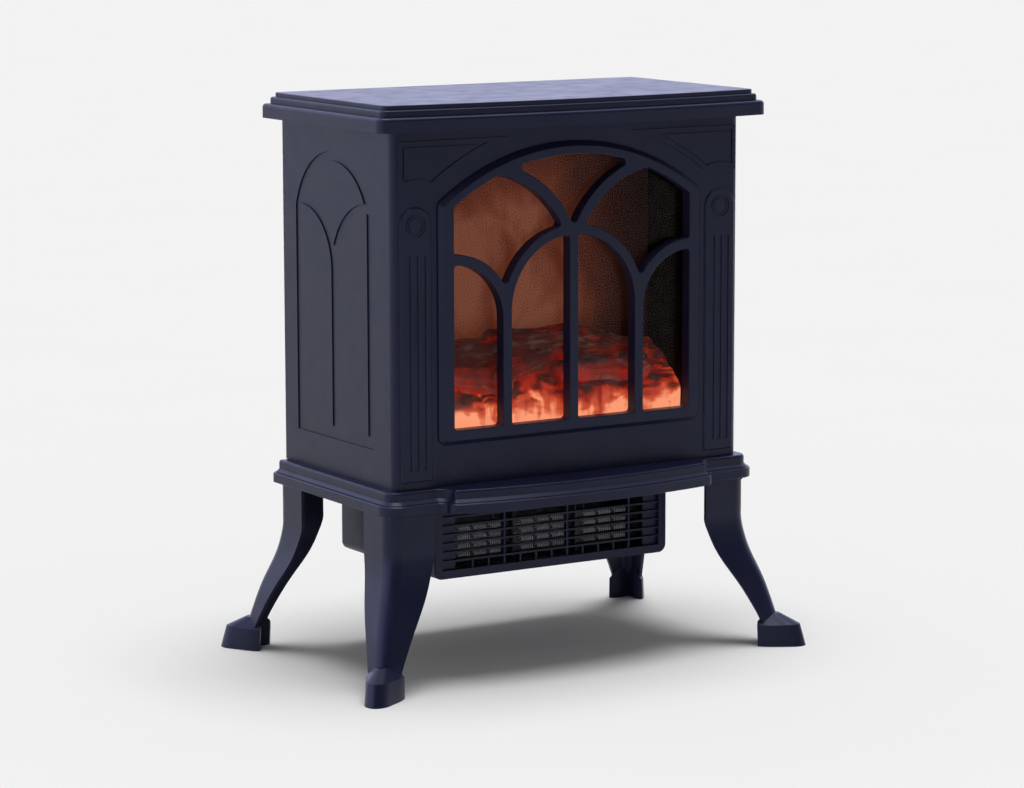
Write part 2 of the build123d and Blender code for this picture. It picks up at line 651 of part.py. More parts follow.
def heating_element():
    """Mica frame with rows of wire on cards, in three banks."""
    y0 = ELEMENT_Y
    y1 = y0 + 16
    card_y = y0 + 8
    half = ELEMENT_HALF_W
    frame = block(-half, half, y0, y1, 98, 99.2) + block(-half, half, y0, y1, 155, 156.2)
    bank_w = CELLS_PER_BANK * CELL_W
    uprights = [-half, half - 1.2] + [BANK_START_X + bank * bank_w - 12 for bank in (1, 2)]
    for x in uprights:
        frame = frame + block(x, x + 1.2, y0, y1, 98, 156.2)
    wires = []
    for row in range(WIRE_ROWS):
        z = WIRE_BOTTOM_Z + row * SLAT_PITCH
        frame = frame + block(-half, half, card_y - 0.4, card_y + 0.4, z - 2.6, z + 2.6)
        for bank in range(3):
            for column in range(3):
                x = BANK_START_X + bank * bank_w + column * CELL_W
                wires.append(block(x, x + CELL_W - 3, card_y - 4.4, card_y - 0.4, z - 2.4, z + 2.4))
    keep("element_frame", frame)
    keep("heating_wire", Compound(children=wires))
    cutout = block(-8, 8, y1, y1 + 3, 141, 153) + rod_y(0, y1 + 3, y1 + 8, 147, 6.5)
    keep("thermal_cutout", cutout)


# ---------------------------------------------------------------- blower

def blower_wheel():
    drum = rod_x(WHEEL_LEFT, WHEEL_LEFT + 2, WHEEL_Y, WHEEL_Z, WHEEL_R)
    drum = drum + rod_x(WHEEL_RIGHT - 2, WHEEL_RIGHT, WHEEL_Y, WHEEL_Z, WHEEL_R)
    middle = (WHEEL_LEFT + WHEEL_RIGHT) / 2
    drum = drum + (rod_x(middle - 1, middle + 1, WHEEL_Y, WHEEL_Z, WHEEL_R)
                   - rod_x(middle - 2, middle + 2, WHEEL_Y, WHEEL_Z, WHEEL_R - 7))
    for index in range(BLADES):
        angle = index * 360 / BLADES
        blade = Pos(0, WHEEL_R - 4.5, 0) * Rot(32, 0, 0) * Box(WHEEL_RIGHT - WHEEL_LEFT, 7.0, 0.9)
        drum = drum + Pos(middle, WHEEL_Y, WHEEL_Z) * Rot(angle, 0, 0) * blade
    keep("blower_wheel", drum)


def blower_shafts():
    left = rod_x(WHEEL_LEFT - 10, WHEEL_LEFT, WHEEL_Y, WHEEL_Z, WHEEL_SHAFT_R)
    right = rod_x(WHEEL_RIGHT, WHEEL_RIGHT + 34, WHEEL_Y, WHEEL_Z, WHEEL_SHAFT_R)
    keep("blower_shaft", Compound(children=[left, right]))
    rotor = rod_x(WHEEL_RIGHT + 12, WHEEL_RIGHT + 28, WHEEL_Y, WHEEL_Z, 11.0)
    rotor = rotor - rod_x(WHEEL_RIGHT + 11, WHEEL_RIGHT + 29, WHEEL_Y, WHEEL_Z, WHEEL_SHAFT_R)
    keep("blower_motor_rotor", rotor)


def blower_scroll():
    """Curved rear guide with end plates that carry the wheel."""
    left = WHEEL_LEFT - 4
    right = WHEEL_RIGHT + 4
    guide = rod_x(left, right, WHEEL_Y, WHEEL_Z, 33.5)
    guide = guide - rod_x(left - 1, right + 1, WHEEL_Y, WHEEL_Z, 32.0)
    guide = guide - block(left - 1, right + 1, WHEEL_Y - 60, WHEEL_Y, 80, WHEEL_Z + 28)
    guide = guide - block(left - 1, right + 1, WHEEL_Y, WHEEL_Y + 60, WHEEL_Z - 22, WHEEL_Z + 14)
    for x in (left - 1.5, right):
        plate = block(x, x + 1.5, WHEEL_Y - 34, WHEEL_Y + 34, BOX_BOTTOM + BOX_WALL, BASE_BOTTOM - 2)
        guide = guide + (plate - rod_x(x - 1, x + 3, WHEEL_Y, WHEEL_Z, 6.0))
    keep("blower_scroll", guide)


def blower_bearing():
    x1 = WHEEL_LEFT - 4
    bush = rod_x(x1 - 7, x1, WHEEL_Y, WHEEL_Z, 6.0)
    bush = bush - rod_x(x1 - 6, x1 + 1, WHEEL_Y, WHEEL_Z, WHEEL_SHAFT_R + RUNNING_GAP)
    keep("blower_bearing", bush)


def blower_motor():
    x0 = WHEEL_RIGHT + 5.5
    stack = block(x0 + 8, x0 + 21, WHEEL_Y - 22, WHEEL_Y + 22, WHEEL_Z - 18, WHEEL_Z + 30)
    stack = stack - rod_x(x0 + 7, x0 + 22, WHEEL_Y, WHEEL_Z, 11.6)
    coil = block(x0 + 3.5, x0 + 25.5, WHEEL_Y - 13, WHEEL_Y + 13, WHEEL_Z + 15, WHEEL_Z + 27)
    for x in (x0, x0 + 26.0):
        bridge = block(x, x + 2.5, WHEEL_Y - 20, WHEEL_Y + 20, WHEEL_Z - 7, WHEEL_Z + 7)
        hole_r = WHEEL_SHAFT_R + RUNNING_GAP
        stack = stack + (bridge - rod_x(x - 1, x + 4, WHEEL_Y, WHEEL_Z, hole_r))
    for y in (WHEEL_Y - 19, WHEEL_Y + 16):
        stack = stack + block(x0, x0 + 28.5, y, y + 3, WHEEL_Z - 7, WHEEL_Z + 7)
    keep("blower_motor", stack + coil)


# ---------------------------------------------------------------- cabinet inside

def inner_shelf():
    half = HALF_W - 2 * WALL - 0.3
    y0 = BODY_FRONT + 9
    y1 = BODY_BACK - 6
    shelf = block(-half, half, y0, y1, SHELF_TOP - SHEET, SHELF_TOP)
    for sign in (-1, 1):
        a = sign * half
        b = sign * (half - SHEET)
        shelf = shelf + block(min(a, b), max(a, b), y0, y1, BASE_BOTTOM + DECK_T, SHELF_TOP)
    for x in (-60, -20, 20, 60):
        shelf = shelf - block(x - 14, x + 14, 40, 52, SHELF_TOP - 5, SHELF_TOP + 1)
    keep("inner_shelf", shelf)


def firebox_liner():
    y0 = LINER_FRONT
    y1 = SCREEN_Y
    half = LINER_HALF_W
    outer = block(-half, half, y0, y1, SHELF_TOP, LINER_TOP)
    inner = block(-half + SHEET, half - SHEET, y0 - 1, y1 + 1, SHELF_TOP + SHEET, LINER_TOP - SHEET)
    keep("firebox_liner", outer - inner)


def flame_screen():
    pane = block(-LINER_HALF_W, LINER_HALF_W, SCREEN_Y, SCREEN_Y + SCREEN_T, SHELF_TOP, LINER_TOP)
    keep("flame_screen", pane)


def ember_bed():
    """Moulded shell with the logs standing up out of the glowing bed."""
    half = LINER_HALF_W - SHEET - 1
    y0 = LINER_FRONT + 3
    y1 = SCREEN_Y - 3
    floor = SHELF_TOP + SHEET
    profile = make_face(Polyline((y0, floor), (y0, floor + 30), (y0 + 14, floor + 42), (y0 + 30, floor + 56),
                                 (y1 - 8, floor + 64), (y1, floor + 60), (y1, floor), close=True))
    plane = Plane(origin=(-half, 0, 0), x_dir=(0, 1, 0), z_dir=(1, 0, 0))
    bed = extrude(plane * profile, 2 * half)
    logs = ((-66, y0 + 40, floor + 72, 12, 118, 4, 6), (62, y0 + 38, floor + 70, 12, 108, -5, -7),
            (-20, y0 + 24, floor + 66, 10, 96, -8, 24), (48, y0 + 20, floor + 58, 9, 84, 6, -18),
            (-12, y0 + 42, floor + 80, 10, 76, 9, -20))
    for x, y, z, r, length, tilt, turn in logs:
        log = Pos(x, y, z) * Rot(0, tilt, turn) * Rot(0, 90, 0) * Cylinder(r, length)
        bed = bed + log
    bed = bed & block(-half, half, y0, y1, floor, floor + 120)
    bed = bed - block(-half + 12, half - 12, y0 + 8, y1 - 12, floor - 1, floor + 14)
    keep("ember_bed", bed)


def led_boards():
    floor = SHELF_TOP + SHEET
    y = (LINER_FRONT + SCREEN_Y) / 2 - 4
    keep("ember_led_board", led_strip(-110, 110, y, floor, 8))
    keep("flame_led_board", led_strip(-100, 100, SCREEN_Y + 14, SHELF_TOP, 7))


def led_strip(x0, x1, y, z, count):
    strip = block(x0, x1, y - 6, y + 6, z, z + 1.6)
    pitch = (x1 - x0) / count
    for index in range(count):
        x = x0 + (index + 0.5) * pitch
        strip = strip + rod_z(x, y, z + 1.6, z + 5.0, 2.5) + Pos(x, y, z + 5.0) * Sphere(2.5)
    return strip


def flame_rotor():
    """Spindle with twisted mirror tabs that throw the flicker."""
    keep("rotor_shaft", rod_x(-ROTOR_HALF_L - 8, ROTOR_HALF_L + 12, ROTOR_Y, ROTOR_Z, ROTOR_SHAFT_R))
    tabs = []
    for index in range(15):
        x = -98 + index * 14
        tab = Box(9, 2 * ROTOR_STRIP_R, 0.5) + Rot(0, 90, 0) * Cylinder(3.0, 5)
        tab = tab - Rot(0, 90, 0) * Cylinder(ROTOR_SHAFT_R, 12)
        tabs.append(Pos(x, ROTOR_Y, ROTOR_Z) * Rot(index * 37, 0, 0) * tab)
    keep("rotor_reflectors", Compound(children=tabs))


def rotor_supports():
    for name, sign in (("rotor_bracket_left", -1), ("rotor_bracket_right", 1)):
        x = sign * (ROTOR_HALF_L + 3)
        upright = block(x - 1, x + 1, ROTOR_Y - 10, ROTOR_Y + 10, SHELF_TOP, ROTOR_Z + 14)
        foot_x = x + sign * 8
        foot = block(min(x, foot_x), max(x, foot_x), ROTOR_Y - 10, ROTOR_Y + 10, SHELF_TOP, SHELF_TOP + 2)
        keep(name, (upright + foot) - rod_x(x - 3, x + 3, ROTOR_Y, ROTOR_Z, 3.5))
    x = -(ROTOR_HALF_L + 3)
    bush = rod_x(x - 4, x + 1, ROTOR_Y, ROTOR_Z, 3.5)
    bush = bush + rod_x(x - 5, x - 1, ROTOR_Y, ROTOR_Z, 5.0)
    bush = bush - rod_x(x - 6, x + 3, ROTOR_Y, ROTOR_Z, ROTOR_SHAFT_R + RUNNING_GAP)
    keep("rotor_bush", bush)
    x = ROTOR_HALF_L + 4
    motor = rod_x(x, x + 18, ROTOR_Y, ROTOR_Z, 20.0)
    motor = motor + rod_x(x - 2, x, ROTOR_Y, ROTOR_Z, 3.5)
    motor = motor - rod_x(x - 3, x + 9, ROTOR_Y, ROTOR_Z, ROTOR_SHAFT_R + RUNNING_GAP)
    keep("flame_motor", motor)


# ---------------------------------------------------------------- controls

def switch_x(index):
    return FIRST_SWITCH_X + index * SWITCH_PITCH


def control_plate():
    outline = rect(CONTROL_X - CONTROL_W / 2, CONTROL_X + CONTROL_W / 2,
                   CONTROL_Z - CONTROL_H / 2, CONTROL_Z + CONTROL_H / 2)
    plate = front_plate(softened(outline, 5.0), BACK_FACE, CONTROL_FACE)
    for index in range(3):
        x = switch_x(index)
        hole = rect(x - 6.7, x + 6.7, CONTROL_Z - 9.7, CONTROL_Z + 9.7)
        plate = plate - front_plate(hole, BACK_FACE - 1, CONTROL_FACE + 1)
    plate = plate - rod_y(KNOB_X, BACK_FACE - 1, CONTROL_FACE + 1, CONTROL_Z, 4.6)
    for index in range(10):
        angle = math.radians(225 - index * 30)
        x = KNOB_X + 18.6 * math.cos(angle)
        z = CONTROL_Z + 18.6 * math.sin(angle)
        plate = plate - rod_y(x, CONTROL_FACE - 0.5, CONTROL_FACE + 1, z, 0.9)
    keep("control_plate", plate)


def rocker_switch(index, label):
    """Snap-in switch body with its own rocker on two pins."""
    x = switch_x(index)
    pivot_y = CONTROL_FACE + 0.6
    face = CONTROL_FACE + 3.0
    body = block(x - 7.5, x + 7.5, CONTROL_FACE, face, CONTROL_Z - 10.6, CONTROL_Z + 10.6)
    body = chamfer(body.faces().sort_by(Axis.Y)[-1].edges(), 0.8)
    body = body + block(x - 6.5, x + 6.5, CONTROL_FACE - 16, CONTROL_FACE, CONTROL_Z - 9.5, CONTROL_Z + 9.5)
    body = body - block(x - 5.6, x + 5.6, pivot_y - 4.6, face + 1, CONTROL_Z - 8.9, CONTROL_Z + 8.9)
    body = body - rod_x(x - 6.2, x + 6.2, pivot_y, CONTROL_Z, 1.2 + RUNNING_GAP)
    for dz in (-5, 5):
        body = body + block(x - 0.4, x + 0.4, CONTROL_FACE - 24, CONTROL_FACE - 16,
                            CONTROL_Z + dz - 2.4, CONTROL_Z + dz + 2.4)
    keep("switch_body_" + label, body)
    profile = make_face(Polyline((-1.8, -6.2), (3.9, -7.6), (2.7, 0), (3.9, 7.6), (-1.8, 6.2), close=True))
    plane = Plane(origin=(x - 5.2, pivot_y, CONTROL_Z), x_dir=(0, 1, 0), z_dir=(1, 0, 0))
    rocker = extrude(plane * profile, 10.4)
    rocker = rocker + rod_x(x - 6.0, x + 6.0, pivot_y, CONTROL_Z, 1.2)
    spin = Pos(x, pivot_y, CONTROL_Z) * Rot(ROCKER_TILT, 0, 0) * Pos(-x, -pivot_y, -CONTROL_Z)
    keep("rocker_" + label, spin * rocker)


def thermostat():
    body = block(KNOB_X - 14, KNOB_X + 14, BACK_FACE - 30, BACK_FACE, CONTROL_Z - 14, CONTROL_Z + 14)
    body = body + rod_y(KNOB_X, BACK_FACE, CONTROL_FACE + 2.5, CONTROL_Z, 4.5)
    body = body - rod_y(KNOB_X, BACK_FACE - 20, CONTROL_FACE + 4, CONTROL_Z, 3.0 + RUNNING_GAP)
    keep("thermostat", body)
    shaft = rod_y(KNOB_X, BACK_FACE - 19.5, CONTROL_FACE + 14, CONTROL_Z, 3.0)
    keep("thermostat_shaft", shaft)
    skirt_y = CONTROL_FACE + 0.8
    knob = rod_y(KNOB_X, skirt_y, skirt_y + 4, CONTROL_Z, KNOB_R)
    knob = knob + rod_y(KNOB_X, skirt_y + 4, skirt_y + 16, CONTROL_Z, KNOB_R - 3)
    knob = chamfer(knob.edges().filter_by(GeomType.CIRCLE).group_by(Axis.Y)[-1], 1.2)
    for index in range(24):
        angle = math.radians(index * 15)
        x = KNOB_X + (KNOB_R - 2.6) * math.cos(angle)
        z = CONTROL_Z + (KNOB_R - 2.6) * math.sin(angle)
        knob = knob - rod_y(x, skirt_y + 5.5, skirt_y + 17, z, 0.9)
    pointer = block(KNOB_X - 0.8, KNOB_X + 0.8, skirt_y + 15.2, skirt_y + 17, CONTROL_Z + 2, CONTROL_Z + 12.5)
    knob = knob - pointer
    knob = knob - rod_y(KNOB_X, skirt_y - 1, skirt_y + 4.2, CONTROL_Z, 5.6)
    knob = knob - rod_y(KNOB_X, skirt_y, CONTROL_FACE + 14, CONTROL_Z, 3.0)
    keep("thermostat_knob", knob)


def cord_gland():
    gland = rod_y(GLAND_X, BACK_FACE - 8, BACK_FACE, GLAND_Z, 7.9)
    gland = gland + rod_y(GLAND_X, BACK_FACE, BACK_FACE + 4, GLAND_Z, 10.5)
    gland = gland + rod_y(GLAND_X, BACK_FACE - 11, BACK_FACE - 8, GLAND_Z, 9.0)
    gland = chamfer(gland.edges().filter_by(GeomType.CIRCLE).group_by(Axis.Y)[-1], 1.0)
    gland = gland - rod_y(GLAND_X, BACK_FACE - 12, BACK_FACE + 5, GLAND_Z, GLAND_BORE_R)
    keep("cord_gland", gland)


def terminal_block():
    body = block(-150, -110, 60, 78, SHELF_TOP, SHELF_TOP + 12)
    for index in range(3):
        x = -143 + index * 13
        body = body + block(x - 4, x + 4, 63, 75, SHELF_TOP + 12, SHELF_TOP + 18)
        body = body - rod_z(x, 69, SHELF_TOP + 10, SHELF_TOP + 19, 2.4)
    keep("terminal_block", body)


# ---------------------------------------------------------------- build

def build():
    front_panel()
    side_panel("side_panel_left", -1)
    side_panel("side_panel_right", 1)
    back_panel()
    top_plate()
    top_cover()
    cover_screws()
    window_frame()
    window_glass()
    base_tray()
    legs()
    leg_screws()
    back_screws()
    box_screws()
    heater_box()
    outlet_grille()
    heating_element()
    blower_wheel()
    blower_shafts()
    blower_scroll()
    blower_bearing()
    blower_motor()
    inner_shelf()
    firebox_liner()
    flame_screen()
    ember_bed()
    led_boards()
    flame_rotor()
    rotor_supports()
    control_plate()
    for index, label in enumerate(("flame", "low", "high")):
        rocker_switch(index, label)
    thermostat()
    cord_gland()
    terminal_block()


def write():
    os.makedirs("parts", exist_ok=True)
    for name, shape in PARTS.items():
        export_step(shape, os.path.join("parts", name + ".step"))


build()
write()
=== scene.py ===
"""Looks for a free-standing electric stove heater: satin navy mouldings on a fixed CAD frame,
a lit log bed and flame screen behind the glass, and the coiled wire behind the grille."""
import json
import math

import bmesh
import bpy
from mathutils import Matrix, Vector, noise


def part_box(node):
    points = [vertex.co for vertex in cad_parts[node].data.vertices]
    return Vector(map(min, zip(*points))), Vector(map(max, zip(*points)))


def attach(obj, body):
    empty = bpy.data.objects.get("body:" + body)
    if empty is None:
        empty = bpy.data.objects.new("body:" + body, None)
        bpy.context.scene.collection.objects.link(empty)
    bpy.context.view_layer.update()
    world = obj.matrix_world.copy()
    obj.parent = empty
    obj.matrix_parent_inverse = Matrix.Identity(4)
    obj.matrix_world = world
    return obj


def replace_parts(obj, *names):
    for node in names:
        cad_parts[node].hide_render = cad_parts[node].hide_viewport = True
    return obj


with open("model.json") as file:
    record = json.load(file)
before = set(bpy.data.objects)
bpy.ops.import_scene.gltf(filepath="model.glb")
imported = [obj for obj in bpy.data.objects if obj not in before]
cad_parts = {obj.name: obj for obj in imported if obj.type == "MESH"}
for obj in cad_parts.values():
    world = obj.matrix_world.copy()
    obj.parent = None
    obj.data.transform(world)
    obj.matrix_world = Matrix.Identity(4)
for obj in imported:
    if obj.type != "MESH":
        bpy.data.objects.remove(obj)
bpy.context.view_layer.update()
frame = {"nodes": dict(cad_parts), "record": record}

nodes = frame["nodes"]

# ---- camera: where it stands, metres and degrees in the frame's axes ----
CAMERA_AT = (-1.74605, -2.83548, 0.76937)
CAMERA_YAW = 31.61
CAMERA_PITCH = 8.92
CAMERA_ROLL = -0.114
CAMERA_LENS = 123.45
SENSOR_W = 36.0

# ---- studio ----
BACKDROP = 0.896
DIFFUSE_SKY = 0.30
COVE_TINT = (0.93, 0.96, 1.34)
KEY_STRENGTH = 2.55
KEY_ANGLE = 38.0
KEY_HEADING = (-0.05, 0.04, -1.0)
FLOOR_HALF = 14.0

# ---- log bed ----
BED_MARGIN = 0.0012
MAT_COLUMNS = 150
MAT_ROWS = 34
SKIRT_STEPS = 7
CREASE_ROOM = 0.003
LOG_SIDES = 40
LOG_RINGS = 84

# ---- heating wire ----
WIRE_R = 0.00032
WIRE_PITCH = 0.0026
WIRE_STEPS = 14
WIRE_SIDES = 6


# ---------------------------------------------------------------- shader building

class Shader:
    """One procedural material: a principled surface and small helpers that add nodes to it."""

    def __init__(self, name, **constants):
        self.material = bpy.data.materials.new(name)
        self.material.use_nodes = True
        self.tree = self.material.node_tree
        self.surface = self.tree.nodes["Principled BSDF"]
        self.place = self.tree.nodes.new("ShaderNodeTexCoord").outputs["Object"]
        for socket, value in constants.items():
            self.surface.inputs[socket.replace("_", " ")].default_value = value

    def node(self, kind, **settings):
        made = self.tree.nodes.new(kind)
        for key, value in settings.items():
            setattr(made, key, value)
        return made

    def link(self, output, target):
        self.tree.links.new(output, target)

    def scaled(self, scale):
        """The object's coordinates stretched by three factors."""
        mapping = self.node("ShaderNodeMapping")
        mapping.inputs["Scale"].default_value = scale
        self.link(self.place, mapping.inputs["Vector"])
        return mapping.outputs["Vector"]

    def noise(self, scale, detail=2.0, distortion=0.0, stretch=(1.0, 1.0, 1.0)):
        made = self.node("ShaderNodeTexNoise")
        self.link(self.scaled(stretch), made.inputs["Vector"])
        made.inputs["Scale"].default_value = scale
        made.inputs["Detail"].default_value = detail
        made.inputs["Distortion"].default_value = distortion
        return made.outputs["Fac"]

    def axis(self, index):
        split = self.node("ShaderNodeSeparateXYZ")
        self.link(self.place, split.inputs[0])
        return split.outputs[index]

    def math(self, operation, a, b=0.0):
        made = self.node("ShaderNodeMath", operation=operation)
        for socket, value in zip(made.inputs, (a, b)):
            if isinstance(value, float):
                socket.default_value = value
            else:
                self.link(value, socket)
        return made.outputs[0]

    def spread(self, value, low, high, to_low=0.0, to_high=1.0):
        """Carry a value from one range to another, held at the ends."""
        made = self.node("ShaderNodeMapRange", clamp=True, interpolation_type="SMOOTHSTEP")
        self.link(value, made.inputs["Value"])
        ends = (("From Min", low), ("From Max", high), ("To Min", to_low), ("To Max", to_high))
        for socket, number in ends:
            made.inputs[socket].default_value = number
        return made.outputs["Result"]

    def ramp(self, value, *stops):
        """Colour along a value: each stop is (place, (r, g, b))."""
        made = self.node("ShaderNodeValToRGB")
        points = made.color_ramp.elements
        while len(points) < len(stops):
            points.new(0.5)
        for point, (place, colour) in zip(points, stops):
            point.position = place
            point.color = (*colour, 1.0)
        self.link(value, made.inputs["Fac"])
        return made.outputs["Color"]

    def mix(self, factor, a, b, blend="MIX"):
        made = self.node("ShaderNodeMix", data_type="RGBA", blend_type=blend)
        for socket, value in ((made.inputs[0], factor), (made.inputs[6], a), (made.inputs[7], b)):
            if isinstance(value, bpy.types.NodeSocket):
                self.link(value, socket)
            else:
                socket.default_value = value
        return made.outputs[2]

    def set(self, socket, output):
        self.link(output, self.surface.inputs[socket])
        return self

    def bump(self, height, strength, distance):
        made = self.node("ShaderNodeBump")
        made.inputs["Strength"].default_value = strength
        made.inputs["Distance"].default_value = distance
        self.link(height, made.inputs["Height"])
        self.link(made.outputs["Normal"], self.surface.inputs["Normal"])
        return self


# ---------------------------------------------------------------- materials

def enamel():
    """Moulded navy plastic with a fine spark texture and faint handling marks."""
    s = Shader("navy_enamel", Specular_IOR_Level=0.27, Specular_Tint=(0.76, 0.81, 1.0, 1.0))
    cloud = s.noise(14.0, 4.0, 0.3)
    s.set("Base Color", s.ramp(cloud, (0.30, (0.0074, 0.0090, 0.0270)), (0.70, (0.0096, 0.0114, 0.0320))))
    s.set("Roughness", s.spread(s.noise(55.0, 3.0), 0.3, 0.7, 0.33, 0.40))
    grain = s.math("ADD", s.noise(1500.0, 2.0), s.math("MULTIPLY", s.noise(420.0, 2.0), 0.5))
    return s.bump(grain, 0.16, 0.0004).material


def painted_sheet(name, dark, light, roughness):
    """Powder-coated sheet steel: orange peel and a slight bloom."""
    s = Shader(name, Metallic=0.0, Specular_IOR_Level=0.4)
    s.set("Base Color", s.ramp(s.noise(22.0, 4.0), (0.3, dark), (0.7, light)))
    s.set("Roughness", s.spread(s.noise(90.0, 2.0), 0.3, 0.7, roughness - 0.05, roughness + 0.06))
    return s.bump(s.noise(900.0, 2.0), 0.22, 0.0004).material


def heat_paint():
    """Flat black heat paint that takes up nearly all light."""
    s = Shader("heat_paint", Specular_IOR_Level=0.12)
    s.set("Base Color", s.ramp(s.noise(26.0, 4.0), (0.3, (0.0014, 0.0007, 0.0006)),
                               (0.7, (0.0026, 0.0014, 0.0012))))
    s.set("Roughness", s.spread(s.noise(80.0, 2.0), 0.3, 0.7, 0.55, 0.70))
    return s.bump(s.noise(600.0, 2.0), 0.05, 0.0002).material


def bare_metal(name, dark, light, roughness, grain=(1.0, 1.0, 1.0), scale=160.0):
    """Bare metal with drawn or ground lines along one way."""
    s = Shader(name, Metallic=1.0)
    lines = s.noise(scale, 5.0, 0.1, grain)
    s.set("Base Color", s.ramp(lines, (0.3, dark), (0.7, light)))
    s.set("Roughness", s.spread(lines, 0.3, 0.7, roughness - 0.08, roughness + 0.08))
    return s.bump(lines, 0.15, 0.0003).material


def wire_steel():
    """Bright resistance wire under a thin pale oxide; its pale base colour is raised further to stand in for
    painted glints.
    """
    s = Shader("oxidised_wire_painted_glint", Metallic=0.30, Specular_IOR_Level=0.6)
    oxide_and_painted_glint = s.noise(420.0, 4.0)
    # The pale base colour is partly the real oxide and partly painted glints.
    s.set("Base Color", s.ramp(oxide_and_painted_glint, (0.3, (0.62, 0.61, 0.60)), (0.7, (0.92, 0.91, 0.90))))
    s.set("Roughness", s.spread(oxide_and_painted_glint, 0.3, 0.7, 0.28, 0.46))
    return s.bump(oxide_and_painted_glint, 0.1, 0.0001).material


def galvanised():
    """Zinc spangle on sheet steel."""
    s = Shader("galvanised_sheet", Metallic=1.0)
    crystals = s.node("ShaderNodeTexVoronoi")
    s.link(s.place, crystals.inputs["Vector"])
    crystals.inputs["Scale"].default_value = 110.0
    tone = s.math("ADD", s.math("MULTIPLY", crystals.outputs["Color"], 0.6),
                  s.math("MULTIPLY", s.noise(30.0, 3.0), 0.4))
    s.set("Base Color", s.ramp(tone, (0.2, (0.36, 0.37, 0.385)), (0.8, (0.55, 0.56, 0.575))))
    s.set("Roughness", s.spread(tone, 0.2, 0.8, 0.32, 0.5))
    return s.bump(tone, 0.08, 0.0002).material


def clear_glass():
    """Flat pane with the faintest film on it."""
    s = Shader("clear_glass", IOR=1.12, Transmission_Weight=1.0)
    film = s.noise(9.0, 3.0)
    s.set("Base Color", s.ramp(film, (0.3, (0.985, 0.985, 0.985)), (0.7, (1.0, 1.0, 1.0))))
    s.set("Roughness", s.spread(film, 0.3, 0.7, 0.0, 0.006))
    return s.material


def flame_screen():
    """Amber diffuser lit from behind: soft flame blotches, dimmer towards its edges, with painted shade
    darkening its right side far more than its left.
    """
    s = Shader("flame_screen", Roughness=0.55, Specular_IOR_Level=0.1, Emission_Strength=1.0)
    blotch = s.noise(15.0, 3.0, 0.6, (1.0, 1.0, 0.72))
    # Painted shade: the glow fades almost to black towards the right (+x), while the left edge only dims to
    # 0.45.
    edge_dim_and_painted_right_shade = s.spread(s.axis(0), 0.020, 0.128, 1.0, 0.03)
    edge_dim_and_painted_right_shade = s.math("MULTIPLY", edge_dim_and_painted_right_shade, s.spread(s.axis(0), -0.139, -0.100, 0.45, 1.0))
    upward = s.spread(s.axis(2), 0.400, 0.494, 1.0, 0.34)
    low = s.spread(s.axis(2), 0.275, 0.345, 0.45, 1.0)
    level = s.math("MULTIPLY", s.math("MULTIPLY", edge_dim_and_painted_right_shade, upward), low)
    level = s.math("MULTIPLY", level, s.spread(blotch, 0.32, 0.68, 0.58, 1.18))
    ribs = s.node("ShaderNodeTexWave", bands_direction="X")
    s.link(s.place, ribs.inputs["Vector"])
    ribs.inputs["Scale"].default_value = 75.0
    level = s.math("MULTIPLY", level, s.spread(ribs.outputs["Fac"], 0.0, 1.0, 0.985, 1.0))
    glow = s.ramp(level, (0.0, (0.0015, 0.0004, 0.0004)), (0.30, (0.022, 0.0040, 0.0020)),
                  (0.70, (0.086, 0.0180, 0.0075)), (1.0, (0.142, 0.0440, 0.0230)))
    s.set("Emission Color", glow)
    s.set("Base Color", s.ramp(blotch, (0.3, (0.020, 0.006, 0.004)), (0.7, (0.035, 0.012, 0.007))))
    return s.bump(ribs.outputs["Fac"], 0.04, 0.0002).material


def ember_glow(name, hot_z, dark_z, strength):
    """Translucent resin lit from below: orange at the floor, red above, charred on its ridges."""
    s = Shader(name, Specular_IOR_Level=0.35, Emission_Strength=strength)
    cracks = s.noise(58.0, 7.0, 0.9, (0.55, 1.0, 1.35))
    patches = s.noise(19.0, 4.0, 0.9)
    streaks = s.noise(34.0, 5.0, 1.6, (1.6, 1.0, 0.45))
    height = s.spread(s.axis(2), hot_z, dark_z, 0.0, 1.0)
    heat = s.math("ADD", height, s.math("MULTIPLY", s.math("SUBTRACT", patches, 0.5), 1.0))
    heat = s.math("ADD", heat, s.math("MULTIPLY", s.math("SUBTRACT", cracks, 0.5), 0.9))
    heat = s.math("ADD", heat, s.math("MULTIPLY", s.math("SUBTRACT", streaks, 0.5), 0.8))
    glow = s.ramp(heat, (0.04, (0.98, 0.33, 0.17)), (0.22, (0.60, 0.080, 0.028)),
                  (0.44, (0.30, 0.0120, 0.0030)), (0.72, (0.150, 0.0070, 0.0025)),
                  (0.96, (0.030, 0.0030, 0.0018)))
    upward = s.node("ShaderNodeSeparateXYZ")
    s.link(s.node("ShaderNodeNewGeometry").outputs["Normal"], upward.inputs[0])
    char = s.math("MULTIPLY", s.spread(upward.outputs[2], 0.0, 0.8), s.spread(cracks, 0.42, 0.58))
    s.set("Emission Color", s.mix(char, glow, (0.012, 0.0040, 0.0030, 1.0)))
    bark = s.ramp(cracks, (0.38, (0.018, 0.003, 0.002)), (0.54, (0.048, 0.014, 0.010)),
                  (0.70, (0.20, 0.120, 0.095)))
    s.set("Base Color", bark)
    s.set("Roughness", s.spread(cracks, 0.3, 0.7, 0.36, 0.66))
    relief = s.math("ADD", cracks, s.math("MULTIPLY", s.noise(170.0, 3.0, 0.5), 0.35))
    return s.bump(relief, 0.9, 0.0024).material


def circuit_board():
    """White solder mask with a slight mottle and lit diodes' warm spill."""
    s = Shader("circuit_board", Roughness=0.4, Emission_Strength=0.6)
    tone = s.noise(120.0, 3.0)
    s.set("Base Color", s.ramp(tone, (0.3, (0.70, 0.70, 0.66)), (0.7, (0.82, 0.82, 0.78))))
    lamp = s.spread(s.axis(2), 0.2275, 0.2290)
    s.set("Emission Color", s.ramp(lamp, (0.0, (0.0, 0.0, 0.0)), (1.0, (1.0, 0.20, 0.07))))
    return s.bump(tone, 0.1, 0.0002).material


